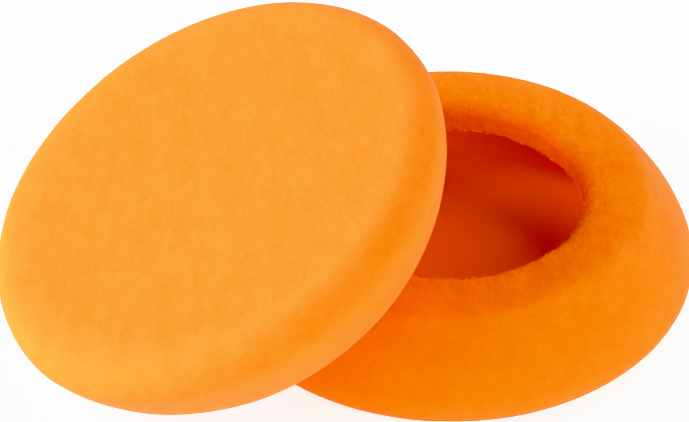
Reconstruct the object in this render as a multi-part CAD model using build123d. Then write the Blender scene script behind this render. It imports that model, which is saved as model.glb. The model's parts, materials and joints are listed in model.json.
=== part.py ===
from build123d import *

import os
from math import asin, cos, degrees, pi, radians, sin

# A pair of slip-on foam ear cushions for on-ear headphones. One lies with its ear face down and
# its opening up. The other lies ear face up across its edge, tipped over onto the surface they
# both stand on. Origin: centre of the lying cushion's ear face, on that surface. +Z is up.

# Driving dimensions of one cushion, in millimetres and degrees
CUSHION_DIAMETER = 65.0
CUSHION_THICKNESS = 15.5
FACE_FLAT_DIAMETER = 50.0
SHOULDER_RADIUS = 30.0
EAR_CORNER_RADIUS = 4.2
WALL_RADIUS = 23.2
WALL_START = 18.0
BACK_CORNER_RADIUS = 2.0
OPENING_DIAMETER = 36.0
RIM_RADIUS = 1.6
LIP_THICKNESS = 5.0
LIP_FLARE_WIDTH = 2.0
LIP_FLARE_HEIGHT = 1.2
POCKET_DIAMETER = 46.0
POCKET_DEPTH = 4.8
POCKET_CORNER_RADIUS = 3.0
WEB_THICKNESS = 0.15
WEB_INSET = 0.6

# Place of the leaning cushion: centre of its ear face in plan, and the way that face looks
LEAN_CENTRE_X = -32.4
LEAN_CENTRE_Y = -11.3
LEAN_TILT = 27.7
LEAN_HEADING = 197.6

# Levels and radii that follow from the driving dimensions
outer_radius = CUSHION_DIAMETER / 2
flat_radius = FACE_FLAT_DIAMETER / 2
opening_radius = OPENING_DIAMETER / 2
pocket_radius = POCKET_DIAMETER / 2
joint_level = CUSHION_THICKNESS - LIP_THICKNESS
web_bottom = joint_level - WEB_THICKNESS / 2
web_top = joint_level + WEB_THICKNESS / 2
flare_level = web_top + LIP_FLARE_HEIGHT
rim_level = CUSHION_THICKNESS - RIM_RADIUS
floor_level = joint_level - POCKET_DEPTH
pocket_corner_x = pocket_radius - POCKET_CORNER_RADIUS
pocket_corner_z = floor_level + POCKET_CORNER_RADIUS

# Outline of the side: a wide shoulder arc runs into a tight corner arc, that runs into the bulging
# wall, and the wall into a small arc at the edge of the flat back. Each arc meets the next smoothly.
shoulder_reach = outer_radius - flat_radius - EAR_CORNER_RADIUS
shoulder_sweep = asin(shoulder_reach / (SHOULDER_RADIUS - EAR_CORNER_RADIUS))
corner_x = outer_radius - EAR_CORNER_RADIUS
corner_z = SHOULDER_RADIUS * (1 - cos(shoulder_sweep)) + EAR_CORNER_RADIUS * cos(shoulder_sweep)
wall_start = radians(WALL_START)
wall_x = corner_x - (WALL_RADIUS - EAR_CORNER_RADIUS) * cos(wall_start)
wall_z = corner_z - (WALL_RADIUS - EAR_CORNER_RADIUS) * sin(wall_start)
back_round_z = CUSHION_THICKNESS - BACK_CORNER_RADIUS
wall_end = asin((back_round_z - wall_z) / (WALL_RADIUS - BACK_CORNER_RADIUS))
back_round_x = wall_x + (WALL_RADIUS - BACK_CORNER_RADIUS) * cos(wall_end)


def wall_bearing(level):
    """Bearing on the wall's arc of a height above the ear face."""
    return asin((level - wall_z) / WALL_RADIUS)


def wall_reach(level):
    """Outer radius of the wall at a height above the ear face."""
    return wall_x + WALL_RADIUS * cos(wall_bearing(level))


def arc(centre_x, centre_z, radius, first, last):
    """Arc in the XZ plane from one bearing to another."""
    start, middle, end = [
        (centre_x + radius * cos(bearing), 0, centre_z + radius * sin(bearing))
        for bearing in (first, (first + last) / 2, last)
    ]
    return ThreePointArc(start, middle, end)


def turned(outline):
    """Solid of revolution about Z from a closed outline drawn in the XZ plane."""
    return revolve(make_face(Curve(outline).edges()), axis=Axis.Z)


def face_pad():
    """Cup of foam that lies on the ear: face, bulging side wall and the pocket's floor."""
    shoulder_end = -pi / 2 + shoulder_sweep
    return turned([
        Line((0, 0, 0), (flat_radius, 0, 0)),
        arc(flat_radius, SHOULDER_RADIUS, SHOULDER_RADIUS, -pi / 2, shoulder_end),
        arc(corner_x, corner_z, EAR_CORNER_RADIUS, shoulder_end, wall_start),
        arc(wall_x, wall_z, WALL_RADIUS, wall_start, wall_bearing(web_bottom)),
        Line((wall_reach(web_bottom), 0, web_bottom), (pocket_radius, 0, web_bottom)),
        Line((pocket_radius, 0, web_bottom), (pocket_radius, 0, pocket_corner_z)),
        arc(pocket_corner_x, pocket_corner_z, POCKET_CORNER_RADIUS, 0, -pi / 2),
        Line((pocket_corner_x, 0, floor_level), (0, 0, floor_level)),
        Line((0, 0, floor_level), (0, 0, 0)),
    ])


def retaining_ring():
    """Ring of foam that grips the back of the earpiece: opening, rounded rim and flared lip."""
    rim_x = opening_radius + RIM_RADIUS
    flare_start = (opening_radius, 0, flare_level)
    flare_end = (opening_radius + LIP_FLARE_WIDTH, 0, web_top)
    return turned([
        Line(flare_end, (wall_reach(web_top), 0, web_top)),
        arc(wall_x, wall_z, WALL_RADIUS, wall_bearing(web_top), wall_end),
        arc(back_round_x, back_round_z, BACK_CORNER_RADIUS, wall_end, pi / 2),
        Line((back_round_x, 0, CUSHION_THICKNESS), (rim_x, 0, CUSHION_THICKNESS)),
        arc(rim_x, rim_level, RIM_RADIUS, pi / 2, pi),
        Line((opening_radius, 0, rim_level), flare_start),
        Line(flare_start, flare_end),
    ])


def bond_web():
    """Thin web of hot-melt glue that joins the ring to the top of the pad's side wall."""
    web_outer = wall_reach(web_top) - WEB_INSET
    disc = Cylinder(web_outer, WEB_THICKNESS, align=(Align.CENTER, Align.CENTER, Align.MIN))
    hole = Cylinder(pocket_radius, WEB_THICKNESS, align=(Align.CENTER, Align.CENTER, Align.MIN))
    return Pos(0, 0, web_bottom) * (disc - hole)


# The lying cushion is drawn where it lies. The leaning one is turned over, tipped and set down:
# its back corner is what touches the surface, so that sets the height of its ear face.
contact_height = back_round_x * sin(radians(LEAN_TILT)) + back_round_z * cos(radians(LEAN_TILT))
lean_centre_z = contact_height + BACK_CORNER_RADIUS
lean_place = (
    Pos(LEAN_CENTRE_X, LEAN_CENTRE_Y, lean_centre_z)
    * Rot(0, 0, LEAN_HEADING)
    * Rot(0, LEAN_TILT, 0)
    * Rot(180, 0, 0)
)
places = {"lying": Pos(0, 0, 0), "leaning": lean_place}
pieces = {"face_pad": face_pad(), "retaining_ring": retaining_ring(), "bond_web": bond_web()}

os.makedirs("parts", exist_ok=True)
for cushion_name, place in places.items():
    for piece_name, piece in pieces.items():
        export_step(place * piece, f"parts/{cushion_name}_{piece_name}.step")

print(f"ear face of the leaning cushion: z {lean_centre_z:.3f}")
print(f"wall leans {degrees(wall_start):.1f} degrees at its foot, {degrees(wall_end):.1f} at the back")
print(f"pocket floor {floor_level:.3f}, joint {joint_level:.3f}")
print(f"straight opening wall from {flare_level:.3f} to {rim_level:.3f}")
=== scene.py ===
import json
import math

import bpy
import numpy as np
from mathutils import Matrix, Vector


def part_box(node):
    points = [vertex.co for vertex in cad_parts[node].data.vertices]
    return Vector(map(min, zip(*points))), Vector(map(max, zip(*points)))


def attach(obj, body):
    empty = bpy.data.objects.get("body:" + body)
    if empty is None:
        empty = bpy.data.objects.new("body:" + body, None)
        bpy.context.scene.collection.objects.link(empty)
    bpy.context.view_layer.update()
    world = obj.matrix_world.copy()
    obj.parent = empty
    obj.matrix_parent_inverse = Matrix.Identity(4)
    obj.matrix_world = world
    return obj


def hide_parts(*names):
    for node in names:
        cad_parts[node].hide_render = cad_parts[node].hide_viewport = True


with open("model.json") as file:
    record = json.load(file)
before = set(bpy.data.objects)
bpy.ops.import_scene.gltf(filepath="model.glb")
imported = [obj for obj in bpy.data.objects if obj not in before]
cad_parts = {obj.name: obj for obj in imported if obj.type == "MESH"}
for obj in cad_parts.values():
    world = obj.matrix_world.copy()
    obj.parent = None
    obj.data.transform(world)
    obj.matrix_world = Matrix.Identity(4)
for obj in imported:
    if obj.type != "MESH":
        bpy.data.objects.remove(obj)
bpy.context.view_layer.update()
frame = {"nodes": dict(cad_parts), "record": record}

# A pair of orange foam ear cushions. The frame gives each cushion's place, its outer radius, its
# thickness and its opening; the rest of the outline is stated here. Lengths are in metres, except
# where a name or a comment says millimetres.
MM = 0.001
FLAT_RADIUS = 25.0 * MM
SHOULDER_RADIUS = 30.0 * MM
EAR_CORNER_RADIUS = 4.2 * MM
WALL_RADIUS = 23.2 * MM
WALL_START = math.radians(18)
BACK_CORNER_RADIUS = 2.0 * MM
RIM_RADIUS = 1.6 * MM
LIP_THICKNESS = 5.0 * MM
LIP_FLARE_WIDTH = 2.0 * MM
LIP_FLARE_HEIGHT = 1.2 * MM
POCKET_RADIUS = 23.0 * MM
POCKET_DEPTH = 4.8 * MM
POCKET_CORNER_RADIUS = 3.0 * MM

mounts = {mount["name"]: mount for mount in frame["record"]["mounts"]}
lying_low, lying_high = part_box("lying_face_pad")
OUTER_RADIUS = (lying_high.x - lying_low.x) / 2
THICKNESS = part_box("lying_retaining_ring")[1].z
OPENING_RADIUS = mounts["lying_opening"]["dims"]["r_mm"] * MM
JOINT_LEVEL = THICKNESS - LIP_THICKNESS
FLOOR_LEVEL = JOINT_LEVEL - POCKET_DEPTH

# How coarse the foam is, from 0 to 1; the material tells the pocket from the outside by it
PAD_GRAIN = 0.3
POCKET_GRAIN = 0.1

# Painted glow on the wall of the pocket, from 0 to 1: an emission that stands in for light coming
# through the foam
POCKET_PAINTED_GLOW = 0.35

# How fast that painted glow fades towards the middle of the pocket's floor
GLOW_FADE = 6

# Mesh fineness: points round a cushion, and the distance between points along its outline
SEGMENTS = 640
PAD_STEP = 0.32 * MM
POCKET_STEP = 1.3 * PAD_STEP
RING_STEP = 0.22 * MM
RIM_STEP = 0.8 * RING_STEP
ROOF_STEP = 3 * RING_STEP
HIDDEN_STEP = 2.5 * MM

# Two points closer than this are one, and faces that meet at more than this angle keep their edge
SAME_PLACE = 1e-9
SHARP_ANGLE = math.radians(48)


# ---------------------------------------------------------------- noise, seeded and repeatable

AXIS_STRIDES = (73856093, 19349663, 83492791)
SEED_STRIDE = 2654435761
LOW_BITS = 0xFFFFFFFF
HALF_RANGE = 0x7FFFFFFF

# A shift and a factor for each round of mixing, and the shift of the last round
MIXING_ROUNDS = ((15, 2246822519), (13, 3266489917))
LAST_SHIFT = 16

# Eight corners averaged are flatter than one lattice value, and this makes up for it
NOISE_GAIN = 1.6

# Pores, as shares of their lattice cell: how far one strays, its radius and how much that varies
PORE_STRAY = 0.42
PORE_RADIUS = 0.38
PORE_SPREAD = 0.16


def lattice_value(cells, seed):
    """A number from -1 to 1 for each whole-numbered lattice cell."""
    mixed = seed * SEED_STRIDE
    for axis, stride in enumerate(AXIS_STRIDES):
        mixed = mixed ^ cells[..., axis] * stride
    mixed = mixed & LOW_BITS
    for shift, factor in MIXING_ROUNDS:
        mixed = (mixed ^ (mixed >> shift)) * factor & LOW_BITS
    mixed = mixed ^ (mixed >> LAST_SHIFT)
    return mixed / HALF_RANGE - 1.0


def soft_noise(points, size, seed):
    """Smooth noise from about -1 to 1 with lumps about one size across."""
    scaled = points / size
    base = np.floor(scaled).astype(np.int64)
    part = scaled - base
    part = part * part * part * (part * (part * 6 - 15) + 10)
    total = np.zeros(len(points))
    for corner in np.ndindex(2, 2, 2):
        weight = np.prod(np.where(np.array(corner) == 1, part, 1 - part), axis=1)
        total += weight * lattice_value(base + np.array(corner), seed)
    return total * NOISE_GAIN


def pore_depth(points, size, seed):
    """From 0 between pores to 1 at a pore's middle: one pore of varied size in each lattice cell."""
    scaled = points / size
    base = np.floor(scaled).astype(np.int64)
    depth = np.zeros(len(points))
    for offset in np.ndindex(3, 3, 3):
        cell = base + np.array(offset) - 1
        centre = np.stack([lattice_value(cell, seed + axis) for axis in range(3)], axis=1)
        centre = cell + 0.5 + PORE_STRAY * centre
        radius = PORE_RADIUS + PORE_SPREAD * lattice_value(cell, seed + 3)
        away = np.linalg.norm(scaled - centre, axis=1) / radius
        depth = np.maximum(depth, np.clip(1 - away, 0, 1))
    return depth


# ---------------------------------------------------------------- outlines of the foam pieces

class Outline:
    """Points of a profile in (radius, level), each with its outward normal and its foam weights.

    The weights go from 0 to 1: grain is how coarse the foam is, ragged is how torn it is, and glow
    is how much painted glow the foam gets: an emission that stands in for light coming through the
    foam in the pocket, and painted light on the shoulder and round the back corner.
    A stretch is given each as its first and last value.
    """

    def __init__(self):
        self.points = []
        self.normals = []
        self.weights = {"grain": [], "ragged": [], "glow": []}

    def add(self, points, normals, weights):
        """Joins a stretch on, without its first point if the outline already ends there."""
        skip = 1 if self.points and math.dist(self.points[-1], points[0]) < SAME_PLACE else 0
        self.points += [tuple(point) for point in points[skip:]]
        self.normals += [tuple(normal) for normal in normals[skip:]]
        for name, values in self.weights.items():
            first, last = weights.get(name, (0, 0))
            values += list(np.linspace(first, last, len(points)))[skip:]

    def line(self, start, end, step, **weights):
        """A straight run; the outward side is on the right of the way it goes."""
        count = max(2, round(math.dist(start, end) / step) + 1)
        along = np.linspace(0, 1, count)[:, None]
        direction = np.array(end) - np.array(start)
        normal = np.array([direction[1], -direction[0]]) / np.linalg.norm(direction)
        self.add(np.array(start) + along * direction, [normal] * count, weights)

    def arc(self, centre, radius, first, last, step, hollow=False, **weights):
        """An arc from one angle to another; hollow arcs have their outward side at the centre."""
        count = max(3, round(abs(last - first) * radius / step) + 1)
        angles = np.linspace(first, last, count)
        spokes = np.stack([np.cos(angles), np.sin(angles)], axis=1)
        normals = -spokes if hollow else spokes
        self.add(np.array(centre) + radius * spokes, normals, weights)

    def close(self):
        """Drops the last point, which is where the outline started."""
        for values in (self.points, self.normals, *self.weights.values()):
            values.pop()


# The side of a cushion is one run of arcs, each of them starting where the one before it ends
SHOULDER_SWEEP = math.asin(
    (OUTER_RADIUS - FLAT_RADIUS - EAR_CORNER_RADIUS) / (SHOULDER_RADIUS - EAR_CORNER_RADIUS)
)
CORNER_CENTRE = (
    OUTER_RADIUS - EAR_CORNER_RADIUS,
    SHOULDER_RADIUS * (1 - math.cos(SHOULDER_SWEEP)) + EAR_CORNER_RADIUS * math.cos(SHOULDER_SWEEP),
)
WALL_CENTRE = (
    CORNER_CENTRE[0] - (WALL_RADIUS - EAR_CORNER_RADIUS) * math.cos(WALL_START),
    CORNER_CENTRE[1] - (WALL_RADIUS - EAR_CORNER_RADIUS) * math.sin(WALL_START),
)
WALL_END = math.asin(
    (THICKNESS - BACK_CORNER_RADIUS - WALL_CENTRE[1]) / (WALL_RADIUS - BACK_CORNER_RADIUS)
)
BACK_CENTRE = (
    WALL_CENTRE[0] + (WALL_RADIUS - BACK_CORNER_RADIUS) * math.cos(WALL_END),
    THICKNESS - BACK_CORNER_RADIUS,
)
JOINT_BEARING = math.asin((JOINT_LEVEL - WALL_CENTRE[1]) / WALL_RADIUS)
JOINT_EDGE = (WALL_CENTRE[0] + WALL_RADIUS * math.cos(JOINT_BEARING), JOINT_LEVEL)
POCKET_EDGE = (POCKET_RADIUS, JOINT_LEVEL)


def face_pad_outline():
    """From the edge of the flat ear face, up the wall, over the glued joint and into the pocket."""
    outline = Outline()
    pad_grain = (PAD_GRAIN, PAD_GRAIN)
    # glow on the pocket's wall and floor is painted glow, an emission that stands in for light coming
    # through the foam
    pocket = {"grain": (POCKET_GRAIN, POCKET_GRAIN), "glow": (POCKET_PAINTED_GLOW, POCKET_PAINTED_GLOW)}
    # glow on the shoulder and the ear corner is painted light, an emission that brightens them
    outline.arc(
        (FLAT_RADIUS, SHOULDER_RADIUS), SHOULDER_RADIUS,
        -math.pi / 2, -math.pi / 2 + SHOULDER_SWEEP, PAD_STEP, grain=pad_grain, glow=(0, 1),
    )
    outline.arc(
        CORNER_CENTRE, EAR_CORNER_RADIUS,
        -math.pi / 2 + SHOULDER_SWEEP, WALL_START, PAD_STEP, grain=pad_grain, glow=(1, 0.2),
    )
    outline.arc(
        WALL_CENTRE, WALL_RADIUS, WALL_START, JOINT_BEARING, PAD_STEP, grain=pad_grain, glow=(0.2, 0),
    )
    outline.line(JOINT_EDGE, POCKET_EDGE, HIDDEN_STEP)
    pocket_foot = (POCKET_RADIUS, FLOOR_LEVEL + POCKET_CORNER_RADIUS)
    outline.line(POCKET_EDGE, pocket_foot, POCKET_STEP, **pocket)
    outline.arc(
        (POCKET_RADIUS - POCKET_CORNER_RADIUS, FLOOR_LEVEL + POCKET_CORNER_RADIUS),
        POCKET_CORNER_RADIUS, 0, -math.pi / 2, PAD_STEP, hollow=True, **pocket,
    )
    return outline


def ring_outline():
    """Closed loop: outer wall, back corner, back face, rim, opening wall, lip, pocket roof, joint."""
    outline = Outline()
    rim_centre = (OPENING_RADIUS + RIM_RADIUS, THICKNESS - RIM_RADIUS)
    flare_start = (OPENING_RADIUS, JOINT_LEVEL + LIP_FLARE_HEIGHT)
    flare_end = (OPENING_RADIUS + LIP_FLARE_WIDTH, JOINT_LEVEL)
    # glow on the outer wall, the back corner and the outer edge of the back face is painted light, an
    # emission that brightens them
    outline.arc(
        WALL_CENTRE, WALL_RADIUS, JOINT_BEARING, WALL_END, RING_STEP,
        grain=(PAD_GRAIN, 0.4), glow=(0, 0.3),
    )
    outline.arc(
        BACK_CENTRE, BACK_CORNER_RADIUS, WALL_END, math.pi / 2, RING_STEP,
        grain=(0.4, 0.6), glow=(0.3, 0.6),
    )
    outline.line(
        (BACK_CENTRE[0], THICKNESS), (rim_centre[0], THICKNESS), RING_STEP,
        grain=(0.6, 1), ragged=(0, 0.2), glow=(0.6, 0),
    )
    outline.arc(
        rim_centre, RIM_RADIUS, math.pi / 2, math.pi, RIM_STEP, grain=(1, 0.8), ragged=(0.2, 0.4),
    )
    outline.line(
        (OPENING_RADIUS, rim_centre[1]), flare_start, RING_STEP, grain=(0.8, 0.5), ragged=(0.4, 0.7),
    )
    outline.line(flare_start, flare_end, RING_STEP, grain=(0.5, 0.5), ragged=(0.7, 1))
    outline.line(flare_end, POCKET_EDGE, ROOF_STEP, grain=(0.5, 0), ragged=(1, 0))
    outline.line(POCKET_EDGE, JOINT_EDGE, HIDDEN_STEP)
    outline.close()
    return outline


# ---------------------------------------------------------------- meshes

def disc(radius, level, ring_start, inner_start, outward):
    """Points and faces of an even grid that fills a ring of points, with no thin slices in it.

    The ring's points are numbered from ring_start and the new ones from inner_start.
    """
    side = SEGMENTS // 4
    ticks = np.linspace(-1, 1, side + 1)
    across, up = np.meshgrid(ticks, ticks, indexing="ij")
    reach = np.maximum(np.abs(across), np.abs(up))
    wide = np.abs(across) >= np.abs(up)
    ratio = np.where(wide, up, across) / np.where(reach > 0, np.where(wide, across, up), 1)
    angle = np.where(wide, ratio * math.pi / 4, math.pi / 2 - ratio * math.pi / 4)
    angle = angle + np.where(np.where(wide, across, up) < 0, math.pi, 0)
    number = np.zeros((side + 1, side + 1), int)
    points = []
    for i, j in np.ndindex(side + 1, side + 1):
        on_edge = i in (0, side) or j in (0, side)
        if on_edge:
            number[i, j] = ring_start + round(angle[i, j] / (2 * math.pi) * SEGMENTS) % SEGMENTS
        else:
            number[i, j] = inner_start + len(points)
            points.append((
                radius * reach[i, j] * math.cos(angle[i, j]),
                radius * reach[i, j] * math.sin(angle[i, j]),
                level,
            ))
    faces = []
    for i, j in np.ndindex(side, side):
        corners = (number[i, j], number[i + 1, j], number[i + 1, j + 1], number[i, j + 1])
        faces.append(corners if outward > 0 else corners[::-1])
    return np.array(points), faces


def swept(profile):
    """Each (radius, level) pair of a profile, taken round the axis."""
    profile = np.array(profile)
    angles = np.arange(SEGMENTS) * 2 * math.pi / SEGMENTS
    spokes = np.stack([np.cos(angles), np.sin(angles)], axis=1)
    places = np.empty((len(profile), SEGMENTS, 3))
    places[..., :2] = profile[:, None, :1] * spokes
    places[..., 2] = profile[:, None, 1]
    return places.reshape(-1, 3)


def turn(outline, caps):
    """Points, normals, foam weights and faces of a turned piece.

    With caps, a disc closes each end of the outline. Without, the outline closes on itself.
    """
    points = swept(outline.points)
    normals = swept(outline.normals)
    weights = {name: np.repeat(values, SEGMENTS) for name, values in outline.weights.items()}
    rows = len(outline.points)
    faces = []
    for row in range(rows - 1 if caps else rows):
        here = row * SEGMENTS
        there = (row + 1) % rows * SEGMENTS
        for step in range(SEGMENTS):
            after = (step + 1) % SEGMENTS
            faces.append((here + step, here + after, there + after, there + step))
    if caps:
        for end, outward in ((0, -1), (rows - 1, 1)):
            radius, level = outline.points[end]
            disc_points, disc_faces = disc(radius, level, end * SEGMENTS, len(points), outward)
            reach = np.hypot(disc_points[:, 0], disc_points[:, 1]) / radius
            # The painted glow fades towards the middle of each disc
            fades = {"grain": 1, "ragged": 1, "glow": reach ** GLOW_FADE}
            for name, values in outline.weights.items():
                disc_values = np.full(len(disc_points), values[end]) * fades[name]
                weights[name] = np.concatenate([weights[name], disc_values])
            points = np.concatenate([points, disc_points])
            normals = np.concatenate([normals, np.full((len(disc_points), 3), (0, 0, outward))])
            faces += disc_faces
    return points, normals, weights, faces


# Foam with this much grain or more strays in full waves and lumps, and where grain is 0 it has none
FREE_GRAIN = 0.25


def foam_surface(points, normals, weights, seed):
    """Moves the points of a turned piece the way soft foam strays from its ideal shape."""

    def stray(by_mm, size_mm, layer):
        return by_mm * MM * soft_noise(points, size_mm * MM, seed + layer)

    waves = stray(by_mm=0.06, size_mm=16, layer=0) + stray(by_mm=0.03, size_mm=4.5, layer=1)
    cells = stray(by_mm=0.03, size_mm=0.8, layer=2)
    pores = -0.03 * MM * pore_depth(points, 1.3 * MM, seed + 3)
    torn = stray(by_mm=0.12, size_mm=2.8, layer=8)
    torn += stray(by_mm=0.05, size_mm=0.8, layer=9)
    torn += stray(by_mm=0.05, size_mm=0.45, layer=10)
    free = np.clip(weights["grain"] / FREE_GRAIN, 0, 1)
    amount = waves * free + (cells + pores) * weights["grain"] + torn * weights["ragged"]
    return points + normals * amount[:, None]


def place_of(cushion):
    """Rotation and centre that take a cushion's own axes to where it lies."""
    mount = mounts[cushion + "_ear_face"]
    axis = -Vector(mount["axis"]).normalized()
    turn_to = Vector((0, 0, 1)).rotation_difference(axis).to_matrix()
    return np.array(turn_to), np.array(mount["pos_m"])


def rest_on_floor(points):
    """Foam that touches the surface it stands on is pressed flat there."""
    points[:, 2] = np.maximum(points[:, 2], 0.0)
    return points


# ---------------------------------------------------------------- torn struts round the opening

# Every third tuft hangs at the lip. Strands have millimetres, and spread and turn are in radians.
TUFTS = 260
TUFTS_PER_LIP_TUFT = 3
FEWEST_STRANDS = 3
MOST_STRANDS = 8
TUFT_SPREAD = 0.022
TURN_IN = (0.1, 1.2)
SIDEWAYS_STRAY = 0.5
STRAND_BEND = 0.5
STRAND_LENGTH = (0.15, 0.45)
STRAND_RADIUS = (0.025, 0.055)
STRAND_SIDES = 3

# Where each ring of a strand is, as a share of its length, and its share of the strand's radius
STRAND_RINGS = ((-0.3, 1.0), (0.4, 0.8), (0.8, 0.45))


def add_strand(points, faces, foot, lean, bend, length, radius, across):
    """A spike with three sides that tapers and bends, with its lower end sunk in the foam."""
    side = np.cross(lean, across)
    side = side / np.linalg.norm(side)
    other = np.cross(lean, side)
    first = len(points)
    for part, width in STRAND_RINGS:
        middle = foot + length * (part * lean + part * part * bend)
        for corner in range(STRAND_SIDES):
            spoke = corner * 2 * math.pi / STRAND_SIDES
            ring_point = math.cos(spoke) * side + math.sin(spoke) * other
            points.append(middle + radius * width * ring_point)
    tip = len(points)
    points.append(foot + length * (lean + bend))
    last_ring = tip - STRAND_SIDES
    for start in range(first, last_ring, STRAND_SIDES):
        for corner in range(STRAND_SIDES):
            here = start + corner
            after = start + (corner + 1) % STRAND_SIDES
            faces.append((here, after, after + STRAND_SIDES, here + STRAND_SIDES))
    for corner in range(STRAND_SIDES):
        faces.append((last_ring + corner, last_ring + (corner + 1) % STRAND_SIDES, tip))
    faces.append((first + 2, first + 1, first))


def loose_fibres(seed):
    """Torn struts that stand up round the rim of the opening and hang at the lip, in tufts."""
    dice = np.random.default_rng(seed)
    up = np.array([0.0, 0.0, 1.0])
    points = []
    faces = []
    for tuft in range(TUFTS):
        bearing = dice.uniform(0, 2 * math.pi)
        at_lip = tuft % TUFTS_PER_LIP_TUFT == 0
        for _ in range(dice.integers(FEWEST_STRANDS, MOST_STRANDS + 1)):
            angle = bearing + dice.normal(0, TUFT_SPREAD)
            out = np.array([math.cos(angle), math.sin(angle), 0.0])
            along = np.array([-math.sin(angle), math.cos(angle), 0.0])
            turn_in = dice.uniform(*TURN_IN)
            if at_lip:
                foot = out * OPENING_RADIUS + up * (JOINT_LEVEL + LIP_FLARE_HEIGHT)
                lean = -up * math.cos(turn_in) - out * math.sin(turn_in)
            else:
                inward = dice.uniform(0, math.pi / 2)
                foot = out * (OPENING_RADIUS + RIM_RADIUS * (1 - math.sin(inward)))
                foot += up * (THICKNESS - RIM_RADIUS * (1 - math.cos(inward)))
                lean = up * math.cos(turn_in) - out * math.sin(turn_in)
            lean = lean + along * dice.normal(0, SIDEWAYS_STRAY)
            lean = lean / np.linalg.norm(lean)
            bend = np.cross(lean, dice.normal(0, 1, 3)) * STRAND_BEND
            length = dice.uniform(*STRAND_LENGTH) * MM
            radius = dice.uniform(*STRAND_RADIUS) * MM
            add_strand(points, faces, foot, lean, bend, length, radius, out + along)
    return np.array(points), faces


# ---------------------------------------------------------------- materials

FINE_DEEP = (0.78, 0.148, 0.0120)
FINE_LIGHT = (0.81, 0.161, 0.0165)
COARSE_DEEP = (0.65, 0.102, 0.0075)
COARSE_LIGHT = (0.92, 0.208, 0.0190)
# A redder, plain dye inside the pocket: painted shade of the deep pocket
POCKET_SHADE_DYE = (0.85, 0.142, 0.006)
# Painted shade in the pores
PORE_SHADE_DYE = (0.62, 0.080, 0.003)
FLECK_DYE = (0.86, 0.25, 0.04)
SHEEN_TINT = (1.0, 0.72, 0.42)
# Colour and strength of the foam's painted glow, an emission where the glow weight is set
PAINTED_GLOW_COLOUR = (1.0, 0.22, 0.05)
PAINTED_GLOW_STRENGTH = 0.12
FIBRE_DYE = (0.85, 0.21, 0.03)
# The fibres' painted glow, an emission that stands in for light passing through them
FIBRE_PAINTED_GLOW = (0.95, 0.22, 0.04)
GLUE_STRAND = (0.88, 0.55, 0.25)
GLUE_FILM = (0.86, 0.30, 0.05)

# The foam's cells are this share as wide as they are long, from the way the block rose
CELL_STRETCH = 0.6

# How much painted shade darkens the dye in a pore, and how much a pore dents the surface, where the foam
# is coarsest
PORE_SHADE = 0.12
PORE_DENT = 0.25


class Shading:
    """A new material and its nodes, with one short call for each kind of node that is used here."""

    def __init__(self, name):
        self.material = bpy.data.materials.new(name)
        self.material.use_nodes = True
        self.tree = self.material.node_tree

    def feed(self, socket, value):
        """Joins another node's output to a socket, or sets the socket to a number or a colour."""
        if isinstance(value, bpy.types.NodeSocket):
            self.tree.links.new(value, socket)
        elif socket.type == "RGBA":
            socket.default_value = (*value, 1)
        else:
            socket.default_value = value

    def node(self, kind, inputs, **settings):
        """A node with its settings made, and then its inputs fed by name or by number."""
        made = self.tree.nodes.new(kind)
        for key, value in settings.items():
            setattr(made, key, value)
        for socket, value in inputs.items():
            self.feed(made.inputs[socket], value)
        return made

    def object_space(self):
        return self.node("ShaderNodeTexCoord", {}).outputs["Object"]

    def attribute(self, name):
        return self.node("ShaderNodeAttribute", {}, attribute_name=name).outputs["Fac"]

    def noise(self, where, size, detail=2.0, roughness=0.5):
        inputs = {"Vector": where, "Scale": 1 / size, "Detail": detail, "Roughness": roughness}
        return self.node("ShaderNodeTexNoise", inputs).outputs["Fac"]

    def cells(self, where, size, feature):
        inputs = {"Vector": where, "Scale": 1 / size}
        return self.node("ShaderNodeTexVoronoi", inputs, feature=feature).outputs["Distance"]

    def span(self, value, low, high, to_low=0.0, to_high=1.0, shape="SMOOTHSTEP"):
        """Takes the stretch from low to high onto the one from to_low to to_high."""
        inputs = {"Value": value, "From Min": low, "From Max": high, "To Min": to_low, "To Max": to_high}
        return self.node("ShaderNodeMapRange", inputs, interpolation_type=shape).outputs["Result"]

    def maths(self, operation, first, second):
        return self.node("ShaderNodeMath", {0: first, 1: second}, operation=operation).outputs["Value"]

    def mixed(self, factor, first, second):
        inputs = {"Factor": factor, "A": first, "B": second}
        return self.node("ShaderNodeMix", inputs, data_type="RGBA").outputs["Result"]

    def bump(self, height, strength, distance, invert=False):
        inputs = {"Height": height, "Strength": strength, "Distance": distance}
        return self.node("ShaderNodeBump", inputs, invert=invert).outputs["Normal"]

    def surface(self, inputs):
        """Feeds the material's own shader, and gives the finished material back."""
        shader = self.tree.nodes["Principled BSDF"]
        for socket, value in inputs.items():
            self.feed(shader.inputs[socket], value)
        return self.material


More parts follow.
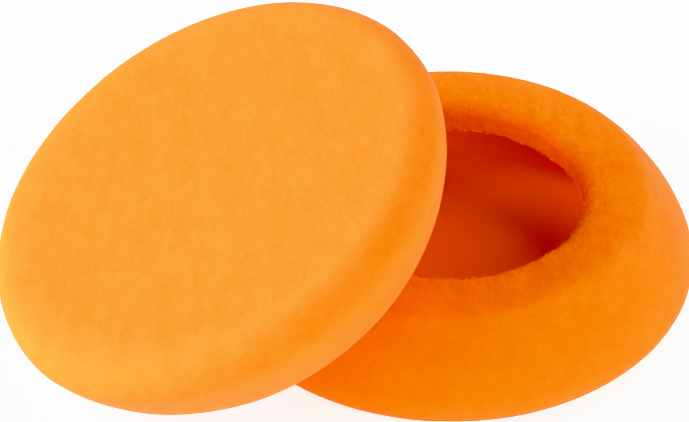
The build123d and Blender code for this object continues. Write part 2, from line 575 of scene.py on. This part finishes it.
def foam_dye(shading, where, grain, pores):
    """Mottled dye with pale flecks, plain inside the pocket; painted shade makes the pocket a little
    redder and the pores darker.
    """
    mottle = shading.noise(where, 4.0 * MM, detail=6.0, roughness=1.0)
    mottle = shading.span(mottle, 0.30, 0.70, shape="LINEAR")
    fine_dye = shading.mixed(mottle, FINE_DEEP, FINE_LIGHT)
    coarse_dye = shading.mixed(mottle, COARSE_DEEP, COARSE_LIGHT)
    outer_dye = shading.mixed(grain, fine_dye, coarse_dye)
    # Painted shade: the pocket gets the redder dye
    inside = shading.span(grain, POCKET_GRAIN, PAD_GRAIN, to_low=1.0, to_high=0.0)
    dye = shading.mixed(inside, outer_dye, POCKET_SHADE_DYE)
    # Painted shade darkens the pores on coarse foam
    coarse_pores = shading.maths("MULTIPLY", pores, grain)
    with_pores = shading.mixed(shading.maths("MULTIPLY", coarse_pores, PORE_SHADE), dye, PORE_SHADE_DYE)
    flecks = shading.noise(where, 0.35 * MM, detail=2.0, roughness=0.6)
    flecks = shading.span(flecks, 0.60, 0.80)
    return shading.mixed(shading.maths("MULTIPLY", flecks, grain), with_pores, FLECK_DYE)


def foam_relief(shading, where, grain, pores):
    """Fine bumps with dents at the pores, four times as strong on the coarsest foam as on the finest."""
    lumps = shading.noise(where, 0.9 * MM, detail=5.0, roughness=0.8)
    height = shading.maths("SUBTRACT", lumps, shading.maths("MULTIPLY", pores, PORE_DENT))
    strength = shading.span(grain, 0.0, 1.0, to_low=0.25, to_high=1.0, shape="LINEAR")
    return shading.bump(height, strength, 0.2 * MM)


def foam_material(name):
    """Matte open-cell foam, which reads two weights from the points of the mesh: grain, and glow, which
    sets its painted glow.
    """
    shading = Shading(name)
    where = shading.node(
        "ShaderNodeMapping", {"Vector": shading.object_space(), "Scale": (1, CELL_STRETCH, 1)},
    ).outputs["Vector"]
    grain = shading.attribute("grain")
    pores = shading.span(shading.cells(where, 0.85 * MM, "F1"), 0.08, 0.30, to_low=1.0, to_high=0.0)
    roughness = shading.span(shading.noise(where, 0.6 * MM), 0.3, 0.7, to_low=0.82, to_high=0.98)
    return shading.surface({
        "Base Color": foam_dye(shading, where, grain, pores),
        "Normal": foam_relief(shading, where, grain, pores),
        "Roughness": roughness,
        "Specular IOR Level": 0.06,
        "Sheen Weight": 0.075,
        "Sheen Roughness": 0.3,
        "Sheen Tint": SHEEN_TINT,
        # Painted glow: emission by the glow weight, standing in for light through the foam and lifting
        # the shoulder and back corner
        "Emission Color": PAINTED_GLOW_COLOUR,
        "Emission Strength": shading.maths("MULTIPLY", shading.attribute("glow"), PAINTED_GLOW_STRENGTH),
    })


def fibre_material():
    """Single torn struts, with a painted glow: an emission that stands in for the light that passes
    through such thin struts.
    """
    return Shading("torn_fibre").surface({
        "Base Color": FIBRE_DYE,
        "Roughness": 0.8,
        "Specular IOR Level": 0.2,
        # Painted glow on the fibres
        "Emission Color": FIBRE_PAINTED_GLOW,
        "Emission Strength": 0.2,
    })


def web_material():
    """Hot-melt glue web: pale, slightly glossy, with the open net that such a web sets into."""
    shading = Shading("hot_melt_web")
    net = shading.cells(shading.object_space(), 1.4 * MM, "DISTANCE_TO_EDGE")
    ramp = shading.node("ShaderNodeValToRGB", {"Fac": net})
    strand, film = ramp.color_ramp.elements
    strand.position = 0.05
    strand.color = (*GLUE_STRAND, 1)
    film.position = 0.2
    film.color = (*GLUE_FILM, 1)
    return shading.surface({
        "Base Color": ramp.outputs["Color"],
        "Normal": shading.bump(net, 0.5, 0.05 * MM, invert=True),
        "Roughness": 0.4,
    })


# ---------------------------------------------------------------- the two cushions

FIRST_SEED = 101
SEEDS_PER_CUSHION = 50
FIBRE_SEED_STEP = 20


def foam_piece(name, points, weights, faces, material):
    """One mesh object, smooth but for its sharp edges, with a weight for each point to shade it by."""
    mesh = bpy.data.meshes.new(name)
    mesh.from_pydata(points.tolist(), [], faces)
    for weight, values in weights.items():
        mesh.attributes.new(weight, "FLOAT", "POINT").data.foreach_set("value", values)
    mesh.polygons.foreach_set("use_smooth", [True] * len(mesh.polygons))
    mesh.set_sharp_from_angle(angle=SHARP_ANGLE)
    mesh.materials.append(material)
    piece = bpy.data.objects.new(name, mesh)
    bpy.context.scene.collection.objects.link(piece)
    return piece


pad_shape = turn(face_pad_outline(), caps=True)
ring_shape = turn(ring_outline(), caps=False)
pad_foam = foam_material("pad_foam")
ring_foam = foam_material("ring_foam")
torn_fibre = fibre_material()
glue = web_material()

for order, cushion in enumerate(("lying", "leaning")):
    rotation, centre = place_of(cushion)
    body = cushion + "_cushion"
    seed = FIRST_SEED + SEEDS_PER_CUSHION * order
    for shape, node, material, slot in (
        (pad_shape, "face_pad", pad_foam, "pad_foam"),
        (ring_shape, "retaining_ring", ring_foam, "ring_foam"),
    ):
        points, normals, weights, faces = shape
        moved = foam_surface(points, normals, weights, seed)
        moved = rest_on_floor(moved @ rotation.T + centre)
        kept = {"grain": weights["grain"], "glow": weights["glow"]}
        piece = foam_piece(f"{cushion}_{node}_foam", moved, kept, faces, material)
        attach(piece, body)
        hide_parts(f"{cushion}_{node}")
    points, faces = loose_fibres(seed + FIBRE_SEED_STEP)
    points = points @ rotation.T + centre
    fibres = foam_piece(f"{cushion}_opening_fibres", points, {}, faces, torn_fibre)
    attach(fibres, body)
    web = frame["nodes"][f"{cushion}_bond_web"]
    web.data.materials.clear()
    web.data.materials.append(glue)


# ---------------------------------------------------------------- floor, lights and camera

FLOOR_HALF = 4.0
FLOOR_DROP = 0.05 * MM
FLOOR_COLOUR = (0.9, 0.9, 0.9)
WHITE = (1, 1, 1)

# The floor's own glow, near the object and past the lights, and the distances it rises between
NEAR_GLOW = 0.75
FAR_GLOW = 1.5
GLOW_RISES_FROM = 0.6
GLOW_RISES_TO = 1.0

SOFTBOX_DISTANCE = 1.2
SOFTBOX_SIZE = 0.9

# A warm light keeps this share of its blue
WARM = 0.88

CAMERA_ELEVATION = math.radians(38.45)
CAMERA_DISTANCE = 1.5
CAMERA_TARGET = Vector((-13.99 * MM, 15.0 * MM, 0))

# The film's curves, by their number in the curve mapping, and the light levels that shape them
BLUE_CURVE = 2
COMBINED_CURVE = 3
BLACK_POINT = 0.025
SHOULDER_KNEE = 0.672
SHOULDER_ROOM = 0.306
SHOULDER_POINTS = 20
BRIGHTEST = 2.0
BLUE_POINTS = ((0.005, 0.005), (0.026, 0.049))


def pale_floor():
    """A white floor that glows a little, and more past the lights, where none of them reaches it."""
    mesh = bpy.data.meshes.new("floor")
    corners = [
        (side * FLOOR_HALF, depth * FLOOR_HALF, -FLOOR_DROP)
        for side, depth in ((-1, -1), (1, -1), (1, 1), (-1, 1))
    ]
    mesh.from_pydata(corners, [], [(0, 1, 2, 3)])
    floor = bpy.data.objects.new("floor", mesh)
    bpy.context.scene.collection.objects.link(floor)
    shading = Shading("pale_floor")
    away = shading.node("ShaderNodeVectorMath", {0: shading.object_space()}, operation="LENGTH")
    glow = shading.span(away.outputs["Value"], GLOW_RISES_FROM, GLOW_RISES_TO, NEAR_GLOW, FAR_GLOW)
    mesh.materials.append(shading.surface({
        "Base Color": FLOOR_COLOUR,
        "Roughness": 0.9,
        "Specular IOR Level": 0.1,
        "Emission Color": WHITE,
        "Emission Strength": glow,
    }))


def softbox(name, azimuth, elevation, power, blue=1.0):
    """A square area light that faces the object; azimuth 0 is in front, 90 to the right."""
    light = bpy.data.lights.new(name, "AREA")
    light.shape = "SQUARE"
    light.size = SOFTBOX_SIZE
    light.energy = power
    light.color = (1, 1, blue)
    lamp = bpy.data.objects.new(name, light)
    turn_by = math.radians(azimuth)
    rise = math.radians(elevation)
    toward = Vector((
        math.sin(turn_by) * math.cos(rise), -math.cos(turn_by) * math.cos(rise), math.sin(rise),
    ))
    lamp.location = toward * SOFTBOX_DISTANCE
    lamp.rotation_euler = toward.to_track_quat("Z", "Y").to_euler()
    lamp.visible_camera = False
    bpy.context.scene.collection.objects.link(lamp)


def dark_world():
    """Nothing shines from around: the softboxes and the floor give all the light."""
    world = bpy.data.worlds.new("dark_world")
    world.use_nodes = True
    world.node_tree.nodes["Background"].inputs["Strength"].default_value = 0.0
    bpy.context.scene.world = world


def camera():
    """Long lens, as the product is seen almost without perspective."""
    data = bpy.data.cameras.new("camera")
    data.sensor_width = 36.0
    data.lens = 582.0
    view = bpy.data.objects.new("camera", data)
    back = Vector((0, -math.cos(CAMERA_ELEVATION), math.sin(CAMERA_ELEVATION)))
    view.location = CAMERA_TARGET + back * CAMERA_DISTANCE
    view.rotation_euler = back.to_track_quat("Z", "Y").to_euler()
    bpy.context.scene.collection.objects.link(view)
    bpy.context.scene.camera = view


def film_response():
    """A small black point, a soft shoulder that holds detail in the bright dye, and lifted blues."""
    settings = bpy.context.scene.view_settings
    settings.view_transform = "Standard"
    settings.use_curve_mapping = True
    response = settings.curve_mapping
    response.black_level = (BLACK_POINT, BLACK_POINT, BLACK_POINT)
    response.clip_max_x = BRIGHTEST
    response.clip_max_y = BRIGHTEST
    response.extend = "EXTRAPOLATED"
    shoulder = response.curves[COMBINED_CURVE]
    shoulder.points[1].location = (SHOULDER_KNEE, SHOULDER_KNEE)
    for light in np.geomspace(SHOULDER_KNEE, BRIGHTEST, SHOULDER_POINTS)[1:]:
        fade = 1 - math.exp((SHOULDER_KNEE - light) / SHOULDER_ROOM)
        shoulder.points.new(light, SHOULDER_KNEE + SHOULDER_ROOM * fade)
    blues = response.curves[BLUE_CURVE]
    for light, shown in BLUE_POINTS:
        blues.points.new(light, shown)
    for point in blues.points:
        point.handle_type = "VECTOR"
    response.update()


pale_floor()
dark_world()
softbox("left_key_low", azimuth=-90, elevation=10, power=7.1)
softbox("left_key", azimuth=-90, elevation=30, power=28.7, blue=1.1)
softbox("front_left_high", azimuth=-45, elevation=58, power=3.8)
softbox("front_fill", azimuth=0, elevation=15, power=3.7)
softbox("front_right_fill", azimuth=45, elevation=25, power=8.6, blue=WARM)
softbox("right_fill_low", azimuth=90, elevation=10, power=3.0, blue=WARM)
softbox("back_right_fill", azimuth=135, elevation=30, power=14.0, blue=WARM)
camera()
film_response()
